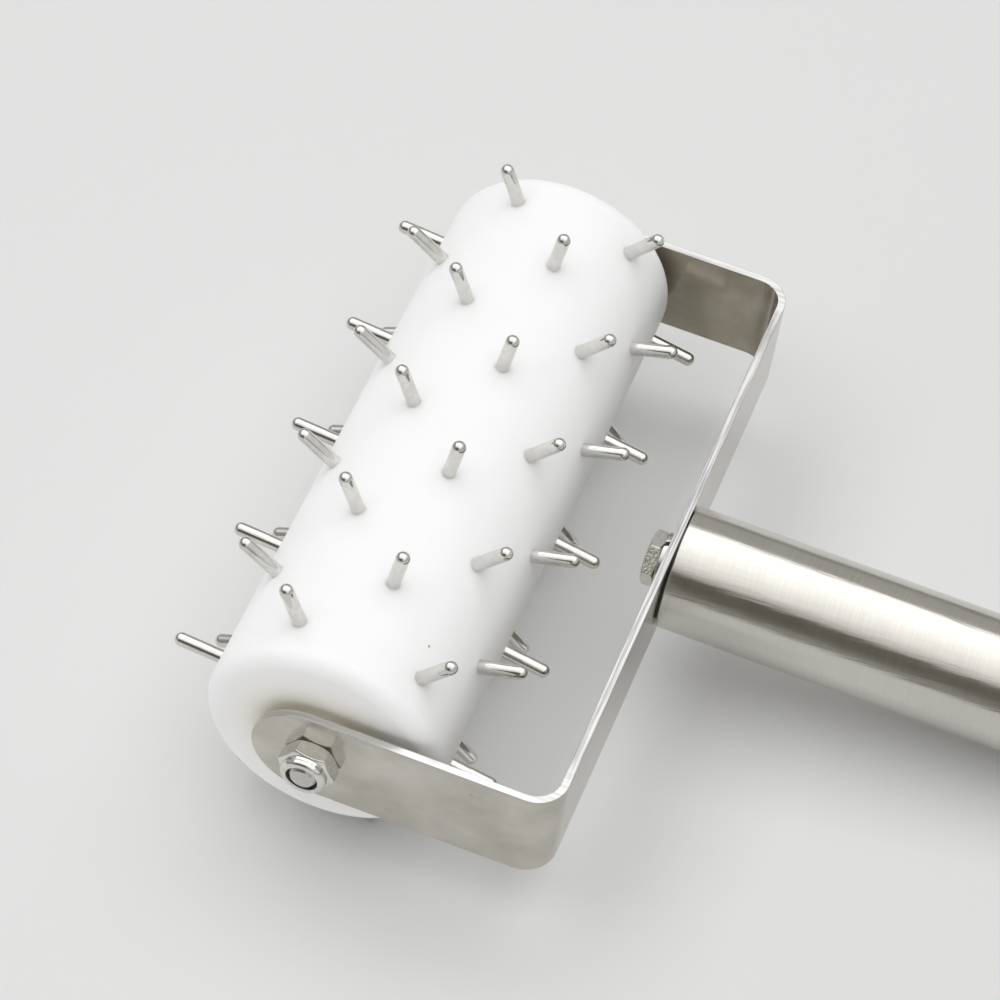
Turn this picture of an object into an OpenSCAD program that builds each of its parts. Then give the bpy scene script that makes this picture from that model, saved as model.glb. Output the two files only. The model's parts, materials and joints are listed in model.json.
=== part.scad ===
// Dough docker: a studded plastic roller in a bent steel bracket with a tube handle.
// Lengths are in millimetres, angles in degrees, and +Z is up.
// The tool lies on a table as it is put down: the roller stands on two rows of pins
// and the handle's end touches the table, so the bracket and handle lean a little.
// The origin is on the table, midway along and midway across the whole tool.
// The roller turns about an axle along X, and the handle points to -Y.

/* [Roller] */
// Diameter of the plastic roller
roller_d = 48; // [40:1:56]
// Length of the plastic roller
roller_len = 134; // [110:1:160]
// Radius that rounds each end of the roller
roller_edge_r = 3.5; // [2:0.5:7]

/* [Pins] */
// Diameter of each pin
pin_d = 2.8; // [2:0.1:3.4]
// How far each pin stands out of the roller
pin_out = 9.8; // [6:0.1:14]
// How deep each pin is pressed into the roller
pin_in = 11; // [6:0.5:13]
// Distance from a roller end to the nearest pins
pin_margin = 9; // [8.5:0.5:16]
// Angle from one row of pins to the next; the gap at the bottom takes what is left
row_step = 31; // [29:0.5:32]

/* [Bracket] */
// Width of the steel strip
strip_w = 22.8; // [18:0.2:25]
// Thickness of the steel strip
strip_t = 1.6; // [1:0.1:2.5]
// Inside radius of the two bends
bend_r = 5; // [2:0.5:8]
// Gap between the pin tips and the bracket's web
web_gap = 12.6; // [9:0.2:25]
// How far the centre of an arm's round end lies beyond the axle
arm_past = 1; // [0:0.1:3]
// How far the handle sits to the right of the web's middle
handle_off = 1.2; // [-3:0.3:3]

/* [Handle] */
// Outer diameter of the handle tube
handle_d = 25.2; // [23:0.2:32]
// Length of the handle, end cap included
handle_len = 130; // [90:1:180]
// Wall thickness of the handle tube
handle_wall = 1.5; // [1:0.1:2.5]

/* [Fasteners] */
// Thread diameter of the axle and of the handle bolt
thread_d = 6; // [5:1:8]

/* [Hidden] */
$fn = 96;

// Rows of pins round the roller: odd rows have five pins and even rows have four
row_count = 12;
long_row_pins = 5;
short_row_pins = 4;
function row_pins(row) = row % 2 == 1 ? long_row_pins : short_row_pins;

// How far round each row lies from the lowest line, which the first and last rows straddle
bottom_gap = 360 - (row_count - 1) * row_step;
function row_angle(row) = bottom_gap / 2 + (row - 1) * row_step;

pin_pitch = (roller_len - 2 * pin_margin) / (long_row_pins - 1);
pin_dome_at = roller_d / 2 + pin_out - pin_d / 2;
pin_tip_at = pin_dome_at + pin_d / 2;
pin_root_at = roller_d / 2 - pin_in;

// Clearances on the radius between pieces that slide or turn, and the roller's end play
running_clearance = 0.08;
loose_clearance = 0.1;
bolt_hole_clearance = 0.2;
end_play = 0.3;

// The spacer tube on the axle, and the thrust washers that ride on it
spacer_wall = 1.4;
spacer_d = thread_d + 2 * (loose_clearance + spacer_wall);
thrust_washer_rim = 3.5;
thrust_washer_d = spacer_d + 2 * thrust_washer_rim;
thrust_washer_t = 1.8;

// The bracket's inside, measured from the roller it holds
arm_gap = roller_len + 2 * (thrust_washer_t + end_play);
web_at = pin_tip_at + web_gap;
nut_seat_at = arm_gap / 2 + strip_t;

// Hexagons of the nuts and the bolt: width across flats, and how far in from the flats the corners are turned off
hex_across = thread_d * 5 / 3;
turned_in = 0.2;

// Lock nuts: hexagon, round collar, and the nylon ring held under the collar's lip
nut_h = thread_d * 0.9;
nut_hex_h = thread_d * 0.6;
nut_collar_d = hex_across * 0.92;
nut_shoulder_r = 1;
nut_lip_t = 0.45;
nut_lip_bore_d = thread_d + 0.4;
ring_d = thread_d * 1.3;
ring_floor = nut_hex_h + 0.2;
left_nut_turn = 25;
right_nut_turn = 12;

// The handle bolt and its split spring washer
head_h = thread_d * 0.47;
head_turn = -46;
bolt_grip = 10;
spring_washer_t = 1.6;
spring_washer_d = thread_d * 2 - 0.2;
spring_slit = 0.9;
spring_slit_lean = 25;
thread_end_chamfer = 0.75;

// The plug that the handle bolt screws into stands proud, so a thin gap shows at the web
plug_proud = 0.4;
plug_len = 12;
tube_from = web_at + strip_t + plug_proud;
handle_end_at = tube_from + handle_len;
cap_t = 4;
cap_edge_r = 3;
cap_spigot_len = 10;
tube_to = handle_end_at - cap_t;
tube_bore_d = handle_d - 2 * handle_wall;

// How the tool lies: two rows of pins straddle the lowest line of the roller
axle_h = pin_dome_at * cos(bottom_gap / 2) + pin_d / 2;
cap_edge_at = handle_end_at - cap_edge_r;
cap_edge_out = handle_d / 2 - cap_edge_r;
lean = asin((axle_h - cap_edge_r) / norm([cap_edge_at, cap_edge_out])) - atan2(cap_edge_out, cap_edge_at);
front_reach = pin_dome_at * max([for (row = [1 : row_count]) sin(row_angle(row))]) + pin_d / 2;
back_reach = cap_edge_at * cos(lean) + cap_edge_out * sin(lean) + cap_edge_r;
axle_y = (back_reach - front_reach) / 2;

// Places what turns: the axle's middle is the local origin
module at_axle() {
    translate([0, axle_y, axle_h])
        children();
}

// Places what leans with the bracket and handle
module leaning() {
    at_axle()
        rotate([lean, 0, 0])
            children();
}

// Turns a piece drawn along +Z so that it runs along X, outwards on the given side
module outwards(side) {
    translate([side * nut_seat_at, 0, 0])
        rotate([0, side * 90, 0])
            children();
}

// Turns a piece drawn along +Z so that it runs along the handle, which sits off the web's middle
module towards_handle() {
    translate([handle_off, 0, 0])
        rotate([90, 0, 0])
            children();
}

module tube(outer_d, inner_d, length) {
    difference() {
        cylinder(d = outer_d, h = length);
        translate([0, 0, -1])
            cylinder(d = inner_d, h = length + 2);
    }
}

// Half section of the roller: a block from bore to skin, with both outer corners rounded
module roller_section() {
    bore_r = spacer_d / 2 + running_clearance;
    skin_r = roller_d / 2;
    straight_len = roller_len - 2 * roller_edge_r;
    translate([bore_r, -straight_len / 2])
        square([skin_r - bore_r, straight_len]);
    translate([bore_r, -roller_len / 2])
        square([skin_r - roller_edge_r - bore_r, roller_len]);
    for (end = [-1, 1])
        translate([skin_r - roller_edge_r, end * straight_len / 2])
            circle(r = roller_edge_r);
}

// Repeats a piece at every pin of one row, drawn outwards along -Z from the axle
module along_row(row) {
    rotate([-row_angle(row), 0, 0])
        for (i = [0 : row_pins(row) - 1])
            translate([(i - (row_pins(row) - 1) / 2) * pin_pitch, 0, 0])
                rotate([180, 0, 0])
                    children();
}

module pin_hole() {
    translate([0, 0, pin_root_at])
        cylinder(d = pin_d, h = pin_in + 1);
}

module pin() {
    union() {
        translate([0, 0, pin_root_at])
            cylinder(d = pin_d, h = pin_dome_at - pin_root_at);
        translate([0, 0, pin_dome_at])
            sphere(d = pin_d);
    }
}

module roller_core() {
    color([0.95, 0.95, 0.94])
        at_axle()
            difference() {
                rotate([0, 90, 0])
                    rotate_extrude()
                        roller_section();
                for (row = [1 : row_count])
                    along_row(row)
                        pin_hole();
            }
}

module pin_row(row) {
    color([0.78, 0.78, 0.77])
        at_axle()
            along_row(row)
                pin();
}

// A threaded rod: plain at the thread's outer size, with both ends chamfered
module chamfered_rod(length) {
    narrow_d = thread_d - 2 * thread_end_chamfer;
    cylinder(d1 = narrow_d, d2 = thread_d, h = thread_end_chamfer);
    translate([0, 0, thread_end_chamfer])
        cylinder(d = thread_d, h = length - 2 * thread_end_chamfer);
    translate([0, 0, length - thread_end_chamfer])
        cylinder(d1 = thread_d, d2 = narrow_d, h = thread_end_chamfer);
}

module axle_rod() {
    rod_len = 2 * (nut_seat_at + nut_h);
    color([0.70, 0.70, 0.68])
        leaning()
            translate([-rod_len / 2, 0, 0])
                rotate([0, 90, 0])
                    chamfered_rod(rod_len);
}

module axle_spacer() {
    color([0.74, 0.74, 0.72])
        leaning()
            translate([-arm_gap / 2, 0, 0])
                rotate([0, 90, 0])
                    tube(spacer_d, thread_d + 2 * loose_clearance, arm_gap);
}

module thrust_washer(side) {
    color([0.88, 0.88, 0.86])
        leaning()
            outwards(side)
                translate([0, 0, -strip_t - thrust_washer_t])
                    tube(thrust_washer_d, spacer_d + 2 * loose_clearance, thrust_washer_t);
}

// A hexagon with the corners turned off at both ends
module hexagon_blank(height) {
    corner_r = hex_across / 2 / cos(30);
    turned_r = hex_across / 2 - turned_in;
    clear_r = corner_r + 0.5;
    slope_h = (clear_r - turned_r) * tan(30);
    intersection() {
        cylinder(r = corner_r, h = height, $fn = 6);
        union() {
            cylinder(r1 = turned_r, r2 = clear_r, h = slope_h);
            translate([0, 0, slope_h])
                cylinder(r = clear_r, h = height - 2 * slope_h);
            translate([0, 0, height - slope_h])
                cylinder(r1 = clear_r, r2 = turned_r, h = slope_h);
        }
    }
}

// Half section of the nut's collar, with a rounded shoulder and a bore for the rod
module collar_section() {
    skin_r = nut_collar_d / 2;
    lip_r = nut_lip_bore_d / 2;
    seat_r = ring_d / 2;
    difference() {
        union() {
            translate([0, nut_hex_h - 1])
                square([skin_r, nut_h - nut_shoulder_r - nut_hex_h + 1]);
            translate([0, nut_hex_h - 1])
                square([skin_r - nut_shoulder_r, nut_h - nut_hex_h + 1]);
            translate([skin_r - nut_shoulder_r, nut_h - nut_shoulder_r])
                circle(r = nut_shoulder_r);
        }
        translate([-1, nut_hex_h - 2])
            square([lip_r + 1, nut_h]);
        translate([-1, ring_floor])
            square([seat_r + 1, nut_h - nut_lip_t - ring_floor]);
    }
}

module lock_nut(side, turn) {
    color([0.72, 0.72, 0.70])
        leaning()
            outwards(side)
                rotate([0, 0, turn])
                    union() {
                        difference() {
                            hexagon_blank(nut_hex_h);
                            translate([0, 0, -1])
                                cylinder(d = thread_d, h = nut_h);
                        }
                        rotate_extrude()
                            collar_section();
                    }
}

module nut_ring(side) {
    color([0.07, 0.08, 0.13])
        leaning()
            outwards(side)
                translate([0, 0, ring_floor])
                    tube(ring_d, thread_d, nut_h - nut_lip_t - ring_floor);
}

// Plan of the bracket seen along Z, filled: arms towards +Y and a web across the handle's side
module u_plan(half_width, web, corner_r, arm_to) {
    translate([-half_width, corner_r - web])
        square([2 * half_width, web - corner_r + arm_to]);
    translate([corner_r - half_width, -web])
        square([2 * (half_width - corner_r), web]);
    for (side = [-1, 1])
        translate([side * (half_width - corner_r), corner_r - web])
            circle(r = corner_r);
}

// Side view of an arm seen along X: a strip with one round end beyond the axle
module arm_side() {
    web_back = web_at + strip_t + 1;
    translate([-web_back, -strip_w / 2])
        square([web_back + arm_past, strip_w]);
    translate([arm_past, 0])
        circle(d = strip_w);
}

module bracket() {
    arm_to = arm_past + strip_w / 2 + 1;
    outer_half = arm_gap / 2 + strip_t;
    hole_d = thread_d + 2 * bolt_hole_clearance;
    color([0.66, 0.65, 0.62])
        leaning()
            difference() {
                intersection() {
                    translate([0, 0, -strip_w / 2])
                        linear_extrude(height = strip_w)
                            difference() {
                                u_plan(outer_half, web_at + strip_t, bend_r + strip_t, arm_to);
                                u_plan(arm_gap / 2, web_at, bend_r, arm_to + 1);
                            }
                    translate([-outer_half - 1, 0, 0])
                        rotate([90, 0, 90])
                            linear_extrude(height = 2 * outer_half + 2)
                                arm_side();
                }
                translate([-outer_half - 1, 0, 0])
                    rotate([0, 90, 0])
                        cylinder(d = hole_d, h = 2 * outer_half + 2);
                towards_handle()
                    translate([0, 0, web_at - 1])
                        cylinder(d = hole_d, h = strip_t + 2);
            }
}

module handle_bolt() {
    head_from = web_at - spring_washer_t;
    shank_len = spring_washer_t + strip_t + bolt_grip;
    color([0.68, 0.68, 0.66])
        leaning()
            towards_handle()
                translate([0, 0, head_from])
                    union() {
                        rotate([180, 0, 0])
                            rotate([0, 0, head_turn])
                                hexagon_blank(head_h);
                        cylinder(d = thread_d, h = shank_len - thread_end_chamfer);
                        translate([0, 0, shank_len - thread_end_chamfer])
                            cylinder(d1 = thread_d, d2 = thread_d - 2 * thread_end_chamfer, h = thread_end_chamfer);
                    }
}

// A ring cut through by one slanted slit
module spring_washer() {
    color([0.70, 0.70, 0.68])
        leaning()
            towards_handle()
                translate([0, 0, web_at - spring_washer_t])
                    difference() {
                        tube(spring_washer_d, thread_d + 2 * loose_clearance, spring_washer_t);
                        translate([0, spring_washer_d / 2, spring_washer_t / 2])
                            rotate([0, spring_slit_lean, 0])
                                cube([spring_slit, spring_washer_d, 4 * spring_washer_t], center = true);
                    }
}

module handle_tube() {
    color([0.72, 0.71, 0.68])
        leaning()
            towards_handle()
                translate([0, 0, tube_from])
                    tube(handle_d, tube_bore_d, tube_to - tube_from);
}

module handle_front_plug() {
    color([0.60, 0.60, 0.58])
        leaning()
            towards_handle()
                translate([0, 0, tube_from - plug_proud])
                    tube(tube_bore_d, thread_d, plug_len + plug_proud);
}

// Half section of the end cap: a disc with a rounded edge, and a spigot inside the tube
module end_cap_section() {
    disc_r = handle_d / 2;
    translate([0, -cap_spigot_len])
        square([tube_bore_d / 2, cap_spigot_len + 1]);
    square([disc_r, cap_t - cap_edge_r]);
    square([disc_r - cap_edge_r, cap_t]);
    translate([disc_r - cap_edge_r, cap_t - cap_edge_r])
        intersection() {
            circle(r = cap_edge_r);
            translate([-cap_edge_r, 0])
                square([2 * cap_edge_r, cap_edge_r]);
        }
}

module handle_end_cap() {
    color([0.70, 0.69, 0.66])
        leaning()
            towards_handle()
                translate([0, 0, tube_to])
                    rotate_extrude()
                        end_cap_section();
}

roller_core();
pin_row(1);  // pin_row_01
pin_row(2);  // pin_row_02
pin_row(3);  // pin_row_03
pin_row(4);  // pin_row_04
pin_row(5);  // pin_row_05
pin_row(6);  // pin_row_06
pin_row(7);  // pin_row_07
pin_row(8);  // pin_row_08
pin_row(9);  // pin_row_09
pin_row(10);  // pin_row_10
pin_row(11);  // pin_row_11
pin_row(12);  // pin_row_12
axle_rod();
axle_spacer();
thrust_washer(-1);  // thrust_washer_left
thrust_washer(1);  // thrust_washer_right
lock_nut(-1, left_nut_turn);  // lock_nut_left
lock_nut(1, right_nut_turn);  // lock_nut_right
nut_ring(-1);  // nut_ring_left
nut_ring(1);  // nut_ring_right
bracket();
handle_bolt();
spring_washer();
handle_tube();
handle_front_plug();
handle_end_cap();
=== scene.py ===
"""Looks of the dough docker: finishes, softened edges, studio light and the photograph's camera."""

import json
import math

import bmesh
import bpy
from mathutils import Euler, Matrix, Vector

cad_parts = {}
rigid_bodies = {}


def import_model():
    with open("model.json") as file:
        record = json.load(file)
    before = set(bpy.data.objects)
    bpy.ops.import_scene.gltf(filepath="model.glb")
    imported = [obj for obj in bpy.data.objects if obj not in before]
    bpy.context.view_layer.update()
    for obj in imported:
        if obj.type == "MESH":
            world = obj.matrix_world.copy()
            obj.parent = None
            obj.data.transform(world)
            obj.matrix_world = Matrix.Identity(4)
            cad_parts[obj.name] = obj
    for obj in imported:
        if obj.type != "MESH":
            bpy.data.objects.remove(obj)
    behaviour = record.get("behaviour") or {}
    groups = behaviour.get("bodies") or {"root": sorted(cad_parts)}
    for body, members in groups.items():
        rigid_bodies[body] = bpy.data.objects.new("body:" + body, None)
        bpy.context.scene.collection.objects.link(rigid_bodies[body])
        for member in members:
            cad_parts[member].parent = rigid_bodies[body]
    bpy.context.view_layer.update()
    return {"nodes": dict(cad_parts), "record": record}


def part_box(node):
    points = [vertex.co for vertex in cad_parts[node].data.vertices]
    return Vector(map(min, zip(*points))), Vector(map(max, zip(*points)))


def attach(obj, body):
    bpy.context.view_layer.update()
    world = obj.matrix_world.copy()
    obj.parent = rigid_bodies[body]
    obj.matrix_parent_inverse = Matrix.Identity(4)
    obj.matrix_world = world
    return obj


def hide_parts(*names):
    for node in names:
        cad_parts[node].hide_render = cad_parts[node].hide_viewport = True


MM = 0.001

# Camera of the photograph, in the row frame
CAMERA_AT = Vector((-0.47141, -0.12381, 0.63020))
CAMERA_TURN_DEG = (40.357, 0.735, -69.400)
CAMERA_LENS = 142.6
CAMERA_SENSOR = 36.0

# Stage
FLOOR_SIZE = 12.0
FLOOR_DROP = 0.02 * MM
FLOOR_COLOUR = (0.765, 0.765, 0.76)
FLOOR_ROUGHNESS = 0.6
FLOOR_SPECULAR = 0.25
BACKDROP_COLOUR = (0.78, 0.78, 0.78)

# Light: one large soft box overhead in a grey room that is lighter at the horizon
SOFT_BOX_HEIGHT = 1.1
SOFT_BOX_SIZE = (1.55, 1.7)
SOFT_BOX_SHIFT = (0.02, 0.10)
SOFT_BOX_POWER = 13.0
ROOM_LIGHT = (0.27, 0.27, 0.27, 1.0)
HORIZON_LIGHT = (1.6, 1.6, 1.6, 1.0)
HORIZON_REACH = 0.45

# The same room as metal shows it: a ceiling panel, grey walls that are bright over -Y, a dark corner
# over -X and a dim band along the horizon. The panel's edges are its reach at a height of one, each
# from where it begins to fade to where it ends, and a wall's numbers are heights or parts of a unit way.
CEILING_GLOW = (1.85, 1.85, 1.85, 1.0)
PANEL_TO_PLUS_X = (0.92, 1.06)
PANEL_TO_MINUS_X = (-1.22, -1.05)
PANEL_TO_PLUS_Y = (0.9, 1.4)
PANEL_TO_MINUS_Y = (-1.4, -0.9)
PANEL_FADE = {"From Min": -1.0, "From Max": 0.3, "To Min": 0.27, "To Max": 1.0}
PANEL_LOWEST = 0.02
WALL_PLUS_X = (0.47, 0.465, 0.45, 1.0)
WALL_MINUS_X = (0.34, 0.335, 0.315, 1.0)
WALLS_CHANGE = (-0.6, 0.5)
HORIZON_IN_METAL = (0.32, 0.315, 0.295, 1.0)
HORIZON_BAND = (0.10, 0.22)
WALL_MINUS_Y = (0.78, 0.78, 0.77, 1.0)
WALL_MINUS_Y_FROM = (0.15, 0.5)
DARK_CORNER = (0.12, 0.108, 0.085, 1.0)
DARK_CORNER_WAY = Vector((-0.80, 0.24, 0.52))
DARK_CORNER_REACH = (0.87, 0.95)

# The values that a noise seldom leaves, and the dirt that lies in rare specks
NOISE_REACH = (0.25, 0.75)
DIRT = (0.42, 0.41, 0.38, 1.0)

# Steel's faint clouds per metre, and the noise values of its darker and its lighter colour
CLOUDS_PER_METRE = 70.0
STEEL_STOPS = (0.38, 0.62)

# White plastic, with a painted warm reflection of the steel arms on its ends, between two parts of the
# roller's radius
PLASTIC_SCATTER = 0.35
PLASTIC_SCATTER_DEPTH = 1.5 * MM
PLASTIC_IOR = 1.48
PLASTIC_ROUGHNESS = (0.36, 0.5)
PLASTIC_CLOUDS = (60.0, 60.0, 60.0)
PLASTIC_SPECKS = (70.0, 0.3 * MM)
TOOL_RINGS = (2200.0, 25.0, 25.0)
TOOL_RING_DEPTH = 0.012 * MM
PAINTED_WARM_REFLECTION = (0.95, 0.905, 0.79, 1.0)
PAINTED_REFLECTION_REACH = (0.3, 0.95)
PAINTED_REFLECTION_DEPTH = 2.5 * MM

# The dark nylon of the nuts' rings
NYLON_LOW = (0.012, 0.014, 0.03, 1.0)
NYLON_HIGH = (0.025, 0.03, 0.055, 1.0)
NYLON_ROUGHNESS = (0.3, 0.45)
NYLON_GRAIN = (900.0, 900.0, 900.0)
NYLON_GRAIN_DEPTH = 0.02 * MM

# The strip's cut edges: whiter than its faces, and finely lined along the arms and along the web; along the
# web they are darker, which is painted shade
CUT_LOW = (0.44, 0.435, 0.43, 1.0)
CUT_HIGH = (0.60, 0.595, 0.585, 1.0)
CUT_WEB_PAINTED_SHADE_LOW = (0.24, 0.235, 0.235, 1.0)
CUT_WEB_PAINTED_SHADE_HIGH = (0.50, 0.495, 0.49, 1.0)
CUT_FACING = (0.6, 0.9)
CUT_LINES_ACROSS = 1500.0
CUT_LINES_ALONG = 50.0

# The painted shade, dark and warm, on the faces that the bracket's arms turn to each other
PAINTED_INNER_SHADE_LOW = (0.36, 0.33, 0.26, 1.0)
PAINTED_INNER_SHADE_HIGH = (0.48, 0.445, 0.365, 1.0)
INNER_SHADE_CLOUDS_PER_METRE = 90.0
INNER_FACING = (0.6, 0.95)

# The bolt head's one rough flat, which keeps its forged skin
FORGED_LOW = (0.30, 0.29, 0.25, 1.0)
FORGED_HIGH = (0.80, 0.79, 0.72, 1.0)
STAMPED_WAY = Vector((-0.72, 0.0, 0.69))
STAMPED_FACING = (0.86, 0.94)
SKIN_PER_METRE = 2600.0
SKIN_DEPTH = 0.25 * MM

for leftover in list(bpy.data.objects):
    bpy.data.objects.remove(leftover)

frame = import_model()
nodes = frame["nodes"]
body_of_node = {n: b for b, ns in frame["record"]["behaviour"]["bodies"].items() for n in ns}


def middle(name):
    """The middle of a CAD node's box."""
    low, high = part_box(name)
    return (low + high) / 2


# Places read off the frame
AXLE = middle("axle_rod")
HANDLE_ALONG = (middle("handle_tube") - middle("handle_front_plug")).normalized()
STRIP_WIDTH = Vector((1.0, 0.0, 0.0)).cross(HANDLE_ALONG)
LEAN = math.atan2(-HANDLE_ALONG.z, -HANDLE_ALONG.y)
ROLLER_END = (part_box("roller_core")[1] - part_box("roller_core")[0]).x / 2
ROLLER_R = (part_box("roller_core")[1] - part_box("roller_core")[0]).z / 2

# How far from the middle a bend begins, and where the cut edge turns from the web's painted shade to the
# arms' look
BEND_R = 5.0 * MM
ARM_FROM = abs(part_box("thrust_washer_left")[0].x) - BEND_R
CUT_BEND = (ARM_FROM - 6.0 * MM, ARM_FROM + 2.0 * MM)


def add(tree, kind, inputs=None, **settings):
    """Adds a node with its settings, its inputs filled with values or with other nodes' outputs."""
    made = tree.nodes.new(kind)
    for name, value in settings.items():
        setattr(made, name, value)
    for socket, value in (inputs or {}).items():
        if isinstance(value, bpy.types.NodeSocket):
            tree.links.new(value, made.inputs[socket])
        else:
            made.inputs[socket].default_value = value
    return made


def smooth_step(tree, value, low, high):
    """0 below low and 1 above high, with a smooth rise between them."""
    return add(
        tree,
        "ShaderNodeMapRange",
        {"Value": value, "From Min": low, "From Max": high},
        interpolation_type="SMOOTHSTEP",
    ).outputs["Result"]


def maths(tree, operation, first, second=0.0):
    return add(tree, "ShaderNodeMath", {0: first, 1: second}, operation=operation).outputs["Value"]


def mixed(tree, factor, first, second):
    inputs = {"Factor": factor, "A": first, "B": second}
    return add(tree, "ShaderNodeMix", inputs, data_type="RGBA").outputs["Result"]


def inverted(tree, value):
    return maths(tree, "SUBTRACT", 1.0, value)


def square(tree, value):
    return maths(tree, "MULTIPLY", value, value)


def plateau(tree, value, rise, fall):
    """1 between the rise and the fall, each a pair of values, and 0 outside them."""
    return maths(
        tree, "MULTIPLY", inverted(tree, smooth_step(tree, value, *fall)), smooth_step(tree, value, *rise)
    )


def facing(tree, first, second):
    """How far two ways agree, from 1 to -1."""
    made = add(tree, "ShaderNodeVectorMath", {0: first, 1: second}, operation="DOT_PRODUCT")
    return made.outputs["Value"]


def cross(tree, first, second):
    made = add(tree, "ShaderNodeVectorMath", {0: first, 1: second}, operation="CROSS_PRODUCT")
    return made.outputs["Vector"]


def surface_normal(tree):
    return add(tree, "ShaderNodeNewGeometry").outputs["Normal"]


def object_place(tree):
    return add(tree, "ShaderNodeTexCoord").outputs["Object"]


def x_of(tree, vector):
    return add(tree, "ShaderNodeSeparateXYZ", {"Vector": vector}).outputs["X"]


def ramp(tree, factor, stops):
    """A colour ramp's output: stops are pairs of position and colour."""
    made = add(tree, "ShaderNodeValToRGB", {"Fac": factor})
    elements = made.color_ramp.elements
    while len(elements) < len(stops):
        elements.new(0.5)
    for element, (position, colour) in zip(elements, stops):
        element.position = position
        element.color = colour
    return made.outputs["Color"]


def local_point(tree, stretch):
    """Object coordinates about the axle, leaned with the bracket and handle, then stretched per axis."""
    centred = add(
        tree, "ShaderNodeMapping", {"Vector": object_place(tree), "Location": -AXLE}, vector_type="POINT"
    )
    turned = add(
        tree,
        "ShaderNodeMapping",
        {"Vector": centred.outputs["Vector"], "Rotation": (-LEAN, 0.0, 0.0), "Scale": stretch},
        vector_type="POINT",
    )
    return turned.outputs["Vector"]


def noise(tree, stretch, detail=2.0, roughness=0.5):
    """Noise on the leaned coordinates; stretch is its frequency per metre along each axis."""
    return add(
        tree,
        "ShaderNodeTexNoise",
        {"Vector": local_point(tree, stretch), "Scale": 1.0, "Detail": detail, "Roughness": roughness},
    ).outputs["Fac"]


def between(tree, factor, low, high):
    """Maps the usual reach of a noise onto low to high."""
    made = add(
        tree, "ShaderNodeMapRange", {"Value": factor, "From Min": NOISE_REACH[0], "From Max": NOISE_REACH[1]}
    )
    made.inputs["To Min"].default_value = low
    made.inputs["To Max"].default_value = high
    return made.outputs["Result"]


def bump(tree, height, depth, normal=None):
    inputs = {"Height": height, "Strength": 1.0, "Distance": depth}
    if normal is not None:
        inputs["Normal"] = normal
    return add(tree, "ShaderNodeBump", inputs).outputs["Normal"]


def start_material(name):
    """A material with only its Principled shader, returned with that shader and its node tree."""
    made = bpy.data.materials.new(name)
    made.use_nodes = True
    tree = made.node_tree
    tree.nodes.clear()
    shader = add(tree, "ShaderNodeBsdfPrincipled")
    add(tree, "ShaderNodeOutputMaterial", {"Surface": shader.outputs["BSDF"]})
    return made, shader, tree


def connect(tree, shader, **sockets):
    for name, output in sockets.items():
        tree.links.new(output, shader.inputs[name.replace("_", " ")])


def from_middle(tree):
    """How far a point lies from the middle of the tool along the axle."""
    return maths(tree, "ABSOLUTE", x_of(tree, object_place(tree)))


def across_strip(tree):
    """The way in which light spreads on a strip brushed along its length.
    That length is X on the web and the handle's way on the arms. A colour mix keeps no minus sign,
    so the handle's way is taken backwards."""
    on_arm = maths(tree, "GREATER_THAN", from_middle(tree), ARM_FROM)
    length = mixed(tree, on_arm, (1.0, 0.0, 0.0, 1.0), (*-HANDLE_ALONG, 1.0))
    return cross(tree, length, surface_normal(tree))


def across_rings(tree, centre, axis):
    """The way in which light spreads on metal brushed in rings about an axis.
    It runs along a tube, and outwards on its end."""
    from_axis = add(
        tree, "ShaderNodeVectorMath", {0: object_place(tree), 1: centre}, operation="SUBTRACT"
    )
    ring = cross(tree, axis, from_axis.outputs["Vector"])
    return cross(tree, ring, surface_normal(tree))


def specks(tree, per_metre, size):
    """1 on rare small dots, one to each cell of the given count per metre, and 0 elsewhere."""
    place = local_point(tree, 3 * (per_metre,))
    cells = add(tree, "ShaderNodeTexVoronoi", {"Vector": place, "Scale": 1.0})
    return maths(tree, "LESS_THAN", cells.outputs["Distance"], size * per_metre)


def stamped_flat(tree):
    """1 on the bolt head's one rough flat, which faces up and to -X."""
    agreed = facing(tree, surface_normal(tree), STAMPED_WAY.normalized())
    return smooth_step(tree, agreed, *STAMPED_FACING)


def cut_edge(tree, colour):
    """The strip's colour, whiter and finely lined on its cut edges, which face across the strip's width,
    with painted shade darkening the web's cut edge.
    """
    agreed = maths(tree, "ABSOLUTE", facing(tree, surface_normal(tree), STRIP_WIDTH))
    across, along = CUT_LINES_ACROSS, CUT_LINES_ALONG
    arm_lines = noise(tree, (across, along, along), detail=3.0, roughness=0.6)
    web_lines = noise(tree, (along, across, along), detail=3.0, roughness=0.6)
    on_arm = ramp(tree, arm_lines, [(0.35, CUT_LOW), (0.55, CUT_HIGH)])
    # Painted shade: the web's cut edge gets a darker copy of the cut-edge colour than the arms' edges
    on_web = ramp(tree, web_lines, [(0.35, CUT_WEB_PAINTED_SHADE_LOW), (0.6, CUT_WEB_PAINTED_SHADE_HIGH)])
    cut = mixed(tree, smooth_step(tree, from_middle(tree), *CUT_BEND), on_web, on_arm)
    return mixed(tree, smooth_step(tree, agreed, *CUT_FACING), colour, cut)


def strip_shade_and_cut_edges(tree, colour):
    """The strip's colour, with painted warm shade on the faces that its arms turn to each other, and its cut
    edges.
    """
    clouds = noise(tree, 3 * (INNER_SHADE_CLOUDS_PER_METRE,), detail=4.0)
    # Painted shade: the faces that the arms turn to each other get a darker, warmer copy of the strip's
    # colour
    painted_inner_shade = ramp(tree, clouds, [(0.35, PAINTED_INNER_SHADE_LOW), (0.6, PAINTED_INNER_SHADE_HIGH)])
    side = maths(tree, "SIGN", x_of(tree, object_place(tree)))
    outward = maths(tree, "MULTIPLY", side, x_of(tree, surface_normal(tree)))
    inward = maths(tree, "MULTIPLY", outward, -1.0)
    return cut_edge(tree, mixed(tree, smooth_step(tree, inward, *INNER_FACING), colour, painted_inner_shade))


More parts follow.
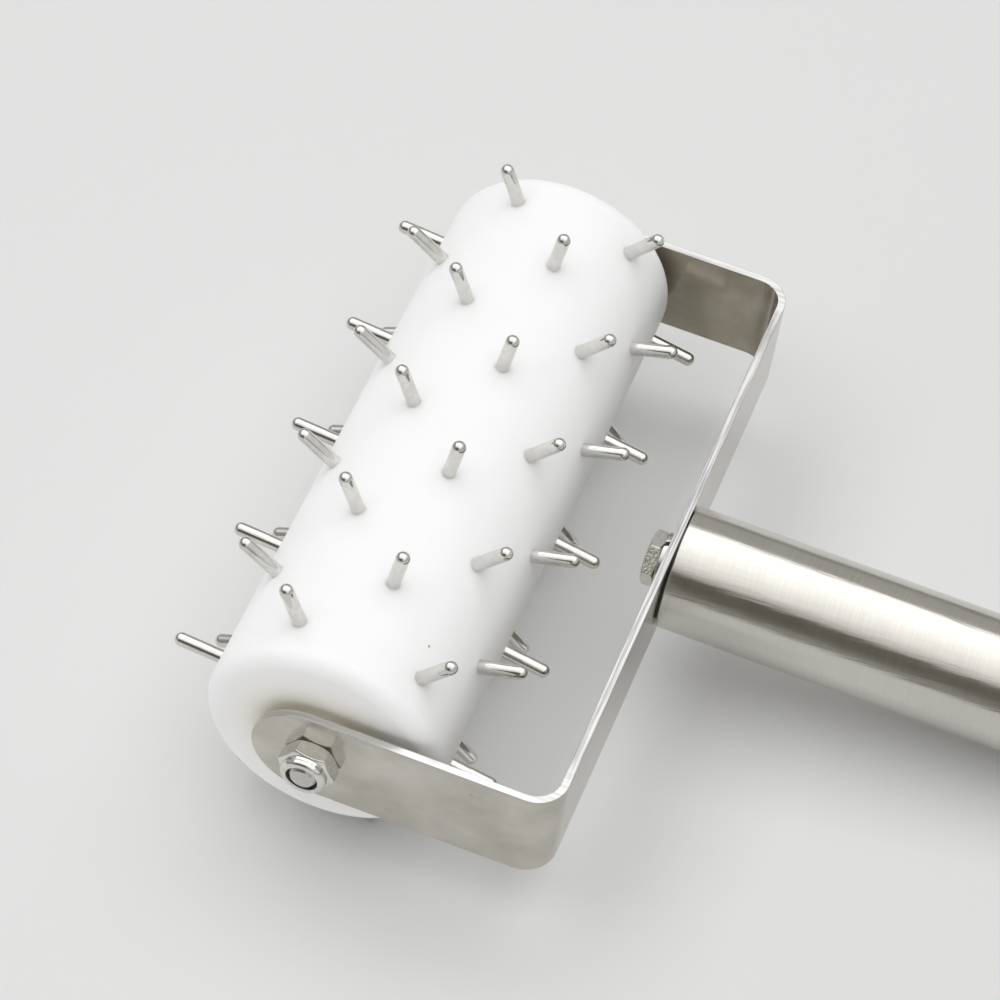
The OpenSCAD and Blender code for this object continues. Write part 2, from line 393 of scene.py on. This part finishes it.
def steel(
    name,
    colours,
    roughness,
    grain,
    grain_depth,
    ripple=None,
    anisotropic=0.0,
    spread=None,
    dirt=None,
    rough_where=None,
    recolour=None,
):
    """Bare steel. Colours and roughness are pairs, low and high.
    Grain and ripple are frequencies per metre along each axis, the ripple with its depth last.
    Spread gives the way in which a brushed surface draws out its highlights, dirt the specks per metre and
    their size, rough_where the stretch that keeps its forged skin, and recolour changes the colour of cut
    edges and adds painted shade."""
    made, shader, tree = start_material(name)
    shader.inputs["Metallic"].default_value = 1.0
    shader.inputs["Anisotropic"].default_value = anisotropic
    streaks = noise(tree, grain, detail=3.0, roughness=0.6)
    clouds = noise(tree, 3 * (CLOUDS_PER_METRE,), detail=5.0, roughness=0.6)
    half = maths(tree, "MULTIPLY", maths(tree, "ADD", streaks, clouds), 0.5)
    normal = bump(tree, streaks, grain_depth)
    if ripple is not None:
        normal = bump(tree, noise(tree, ripple[:3], detail=2.0), ripple[3], normal)
    darker, lighter = ((*colour, 1.0) for colour in colours)
    colour = ramp(tree, half, [(STEEL_STOPS[0], darker), (STEEL_STOPS[1], lighter)])
    if recolour is not None:
        colour = recolour(tree, colour)
    if dirt is not None:
        colour = mixed(tree, specks(tree, *dirt), colour, DIRT)
    if rough_where is not None:
        skin = noise(tree, 3 * (SKIN_PER_METRE,), detail=2.0, roughness=0.7)
        here = rough_where(tree)
        normal = bump(tree, maths(tree, "MULTIPLY", skin, here), SKIN_DEPTH, normal)
        colour = mixed(tree, here, colour, ramp(tree, skin, [(0.35, FORGED_LOW), (0.65, FORGED_HIGH)]))
    connect(tree, shader, Base_Color=colour, Roughness=between(tree, half, *roughness), Normal=normal)
    if spread is not None:
        tree.links.new(spread(tree), shader.inputs["Tangent"])
    return made


def white_plastic(name, colour_low, colour_high):
    """Turned white plastic: soft mottling, faint tool rings, rare dark specks, and a warm tint on its ends
    near the axle that is a painted reflection of the steel arms.
    """
    made, shader, tree = start_material(name)
    shader.inputs["Subsurface Weight"].default_value = PLASTIC_SCATTER
    shader.inputs["Subsurface Radius"].default_value = (1.0, 1.0, 1.0)
    shader.inputs["Subsurface Scale"].default_value = PLASTIC_SCATTER_DEPTH
    shader.inputs["IOR"].default_value = PLASTIC_IOR
    clouds = noise(tree, PLASTIC_CLOUDS, detail=4.0)
    base = ramp(tree, clouds, [(0.3, (*colour_low, 1.0)), (0.7, (*colour_high, 1.0))])
    place = add(tree, "ShaderNodeSeparateXYZ", {"Vector": local_point(tree, (1.0, 1.0, 1.0))}).outputs
    radius = maths(tree, "SQRT", maths(tree, "ADD", square(tree, place["Y"]), square(tree, place["Z"])))
    on_end = smooth_step(tree, from_middle(tree), ROLLER_END - PAINTED_REFLECTION_DEPTH, ROLLER_END)
    inner = inverted(tree, smooth_step(tree, radius, *(share * ROLLER_R for share in PAINTED_REFLECTION_REACH)))
    # Painted warm reflection: the ends are tinted yellow near the axle, where the steel arms would cast warm
    # light back onto them
    base = mixed(tree, maths(tree, "MULTIPLY", on_end, inner), base, PAINTED_WARM_REFLECTION)
    rings = noise(tree, TOOL_RINGS, detail=2.0)
    connect(
        tree,
        shader,
        Base_Color=mixed(tree, specks(tree, *PLASTIC_SPECKS), base, DIRT),
        Roughness=between(tree, clouds, *PLASTIC_ROUGHNESS),
        Normal=bump(tree, rings, TOOL_RING_DEPTH),
    )
    return made


def dark_plastic(name):
    made, shader, tree = start_material(name)
    clouds = noise(tree, NYLON_GRAIN)
    connect(
        tree,
        shader,
        Base_Color=ramp(tree, clouds, [(0.3, NYLON_LOW), (0.7, NYLON_HIGH)]),
        Roughness=between(tree, clouds, *NYLON_ROUGHNESS),
        Normal=bump(tree, clouds, NYLON_GRAIN_DEPTH),
    )
    return made


MATERIALS = {
    "roller_plastic": white_plastic("roller_plastic_look", (0.935, 0.934, 0.93), (0.96, 0.96, 0.958)),
    "washer_plastic": white_plastic("washer_plastic_look", (0.82, 0.82, 0.79), (0.87, 0.87, 0.84)),
    "pin_steel": steel(
        "pin_steel_look",
        colours=((0.62, 0.61, 0.58), (0.74, 0.73, 0.705)),
        roughness=(0.02, 0.05),
        grain=(600.0, 600.0, 600.0),
        grain_depth=0.002 * MM,
    ),
    "strip_steel": steel(
        "strip_steel_look",
        colours=((0.475, 0.453, 0.40), (0.625, 0.605, 0.555)),
        roughness=(0.14, 0.23),
        grain=(60.0, 60.0, 120.0),
        grain_depth=0.001 * MM,
        anisotropic=0.5,
        spread=across_strip,
        dirt=(75.0, 0.35 * MM),
        recolour=strip_shade_and_cut_edges,
    ),
    "handle_steel": steel(
        "handle_steel_look",
        colours=((0.585, 0.57, 0.53), (0.635, 0.62, 0.575)),
        roughness=(0.17, 0.23),
        grain=(80.0, 3000.0, 80.0),
        grain_depth=0.006 * MM,
        ripple=(900.0, 6.0, 900.0, 0.035 * MM),
        dirt=(60.0, 0.3 * MM),
        anisotropic=0.6,
        spread=lambda tree: across_rings(tree, middle("handle_tube"), HANDLE_ALONG),
    ),
    "nut_steel": steel(
        "nut_steel_look",
        colours=((0.66, 0.65, 0.62), (0.80, 0.79, 0.76)),
        roughness=(0.04, 0.11),
        grain=(1200.0, 1200.0, 1200.0),
        grain_depth=0.006 * MM,
        ripple=(330.0, 330.0, 330.0, 0.06 * MM),
    ),
    "plain_steel": steel(
        "plain_steel_look",
        colours=((0.54, 0.53, 0.51), (0.66, 0.65, 0.63)),
        roughness=(0.2, 0.34),
        grain=(900.0, 900.0, 900.0),
        grain_depth=0.01 * MM,
    ),
    "dark_nylon": dark_plastic("dark_nylon_look"),
}

# Pieces whose finish differs from the rest of their slot: the bolt with its rough flat, and the plug,
# coloured near black as a painted shadow of the gap at the tube's end
OWN_LOOKS = {
    "handle_bolt": steel(
        "bolt_steel_look",
        colours=((0.66, 0.65, 0.60), (0.80, 0.79, 0.74)),
        roughness=(0.14, 0.26),
        grain=(1500.0, 1500.0, 1500.0),
        grain_depth=0.01 * MM,
        rough_where=stamped_flat,
    ),
    # Painted shadow: the front plug is near black so that it draws the shadowed gap between the tube's end
    # and the web
    "handle_front_plug": steel(
        "plug_painted_shadow_look",
        colours=((0.05, 0.05, 0.048), (0.09, 0.09, 0.085)),
        roughness=(0.35, 0.5),
        grain=(900.0, 900.0, 900.0),
        grain_depth=0.01 * MM,
    ),
}

slot_of_node = {name: piece.data.materials[0].name for name, piece in nodes.items()}
for name, piece in nodes.items():
    piece.data.materials[0] = OWN_LOOKS.get(name, MATERIALS[slot_of_node[name]])


# Points this close are one point, and faces that meet this flatly are one face
SAME_POINT = 0.002 * MM
SAME_PLANE_DEG = 0.5


def softened(name, width, segments=3, sharp_deg=30.0):
    """A piece that stands for a CAD node, with the same shape but narrow rounds along its sharp edges."""
    source = nodes[name]
    mesh = bpy.data.meshes.new(name + "_mesh")
    work = bmesh.new()
    work.from_mesh(source.data)
    bmesh.ops.remove_doubles(work, verts=work.verts, dist=SAME_POINT)
    bmesh.ops.dissolve_limit(
        work,
        angle_limit=math.radians(SAME_PLANE_DEG),
        verts=work.verts,
        edges=work.edges,
        use_dissolve_boundaries=False,
    )
    sharp = [
        e for e in work.edges if len(e.link_faces) == 2 and e.calc_face_angle(0.0) > math.radians(sharp_deg)
    ]
    bmesh.ops.bevel(
        work, geom=sharp, offset=width, segments=segments, profile=0.5, affect="EDGES", clamp_overlap=True
    )
    work.to_mesh(mesh)
    work.free()
    piece = bpy.data.objects.new(name + "_soft", mesh)
    bpy.context.scene.collection.objects.link(piece)
    mesh.materials.append(source.data.materials[0])
    mesh.shade_smooth()
    piece.modifiers.new("flat_faces", "WEIGHTED_NORMAL")
    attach(piece, body_of_node[name])
    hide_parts(name)
    return piece


softened("bracket", 0.12 * MM)
softened("handle_bolt", 0.2 * MM, sharp_deg=25.0)
softened("spring_washer", 0.15 * MM)
softened("handle_tube", 0.3 * MM)
for side in ("left", "right"):
    softened("lock_nut_" + side, 0.22 * MM, sharp_deg=25.0)
    softened("thrust_washer_" + side, 0.25 * MM)


def stage_sheet(name, size, place, material):
    """A flat square of the studio, which isn't part of the object."""
    mesh = bpy.data.meshes.new(name)
    half = size / 2
    corners = [(-half, -half, 0.0), (half, -half, 0.0), (half, half, 0.0), (-half, half, 0.0)]
    mesh.from_pydata(corners, [], [(0, 1, 2, 3)])
    mesh.materials.append(material)
    sheet = bpy.data.objects.new(name, mesh)
    sheet.location = place
    bpy.context.scene.collection.objects.link(sheet)
    return sheet


def floor_material():
    made, shader, tree = start_material("floor_look")
    shader.inputs["Base Color"].default_value = (*FLOOR_COLOUR, 1.0)
    shader.inputs["Roughness"].default_value = FLOOR_ROUGHNESS
    shader.inputs["Specular IOR Level"].default_value = FLOOR_SPECULAR
    return made


stage_sheet("floor", FLOOR_SIZE, (0.0, 0.0, -FLOOR_DROP), floor_material())


def room_in_metal(tree, direction, way):
    """The colour of the room in each direction: walls, horizon, dark corner and ceiling panel."""
    height = maths(tree, "MAXIMUM", way["Z"], PANEL_LOWEST)
    across = maths(tree, "DIVIDE", way["X"], height)
    along = maths(tree, "DIVIDE", way["Y"], height)
    panel_x = plateau(tree, across, PANEL_TO_MINUS_X, PANEL_TO_PLUS_X)
    panel_y = plateau(tree, along, PANEL_TO_MINUS_Y, PANEL_TO_PLUS_Y)
    walls = mixed(tree, smooth_step(tree, way["X"], *WALLS_CHANGE), WALL_MINUS_X, WALL_PLUS_X)
    toward_minus_y = maths(tree, "MULTIPLY", way["Y"], -1.0)
    walls = mixed(tree, smooth_step(tree, toward_minus_y, *WALL_MINUS_Y_FROM), walls, WALL_MINUS_Y)
    toward_corner = facing(tree, direction, DARK_CORNER_WAY.normalized())
    walls = mixed(tree, smooth_step(tree, toward_corner, *DARK_CORNER_REACH), walls, DARK_CORNER)
    walls = mixed(tree, smooth_step(tree, way["Z"], *HORIZON_BAND), HORIZON_IN_METAL, walls)
    fade = add(tree, "ShaderNodeMapRange", {"Value": across, **PANEL_FADE}).outputs["Result"]
    panel = maths(tree, "MULTIPLY", maths(tree, "MULTIPLY", panel_x, panel_y), fade)
    return mixed(tree, panel, walls, CEILING_GLOW)


def light_the_room():
    """The room that lights the object, a pale colour past the floor's edge, and the studio in metal."""
    world = bpy.data.worlds.new("studio")
    bpy.context.scene.world = world
    world.use_nodes = True
    tree = world.node_tree
    tree.nodes.clear()
    path = add(tree, "ShaderNodeLightPath").outputs
    direction = add(tree, "ShaderNodeTexCoord").outputs["Generated"]
    way = add(tree, "ShaderNodeSeparateXYZ", {"Vector": direction}).outputs
    light = mixed(tree, smooth_step(tree, way["Z"], 0.0, HORIZON_REACH), HORIZON_LIGHT, ROOM_LIGHT)
    seen = maths(tree, "MAXIMUM", path["Is Camera Ray"], path["Is Transmission Ray"])
    colour = mixed(tree, seen, light, (*BACKDROP_COLOUR, 1.0))
    colour = mixed(tree, path["Is Glossy Ray"], colour, room_in_metal(tree, direction, way))
    background = add(tree, "ShaderNodeBackground", {"Color": colour, "Strength": 1.0})
    add(tree, "ShaderNodeOutputWorld", {"Surface": background.outputs["Background"]})


light_the_room()


def soft_box():
    data = bpy.data.lights.new("soft_box", "AREA")
    data.shape = "RECTANGLE"
    data.size, data.size_y = SOFT_BOX_SIZE
    data.energy = SOFT_BOX_POWER
    lamp = bpy.data.objects.new("soft_box", data)
    lamp.location = (SOFT_BOX_SHIFT[0], SOFT_BOX_SHIFT[1], SOFT_BOX_HEIGHT)
    lamp.visible_camera = False
    lamp.visible_glossy = False
    bpy.context.scene.collection.objects.link(lamp)


soft_box()


def photograph_camera():
    data = bpy.data.cameras.new("camera")
    data.sensor_width = CAMERA_SENSOR
    data.lens = CAMERA_LENS
    data.clip_start = 0.01
    camera = bpy.data.objects.new("camera", data)
    camera.location = CAMERA_AT
    camera.rotation_euler = Euler([math.radians(a) for a in CAMERA_TURN_DEG])
    bpy.context.scene.collection.objects.link(camera)
    bpy.context.scene.camera = camera


photograph_camera()
bpy.context.scene.view_settings.view_transform = "Standard"
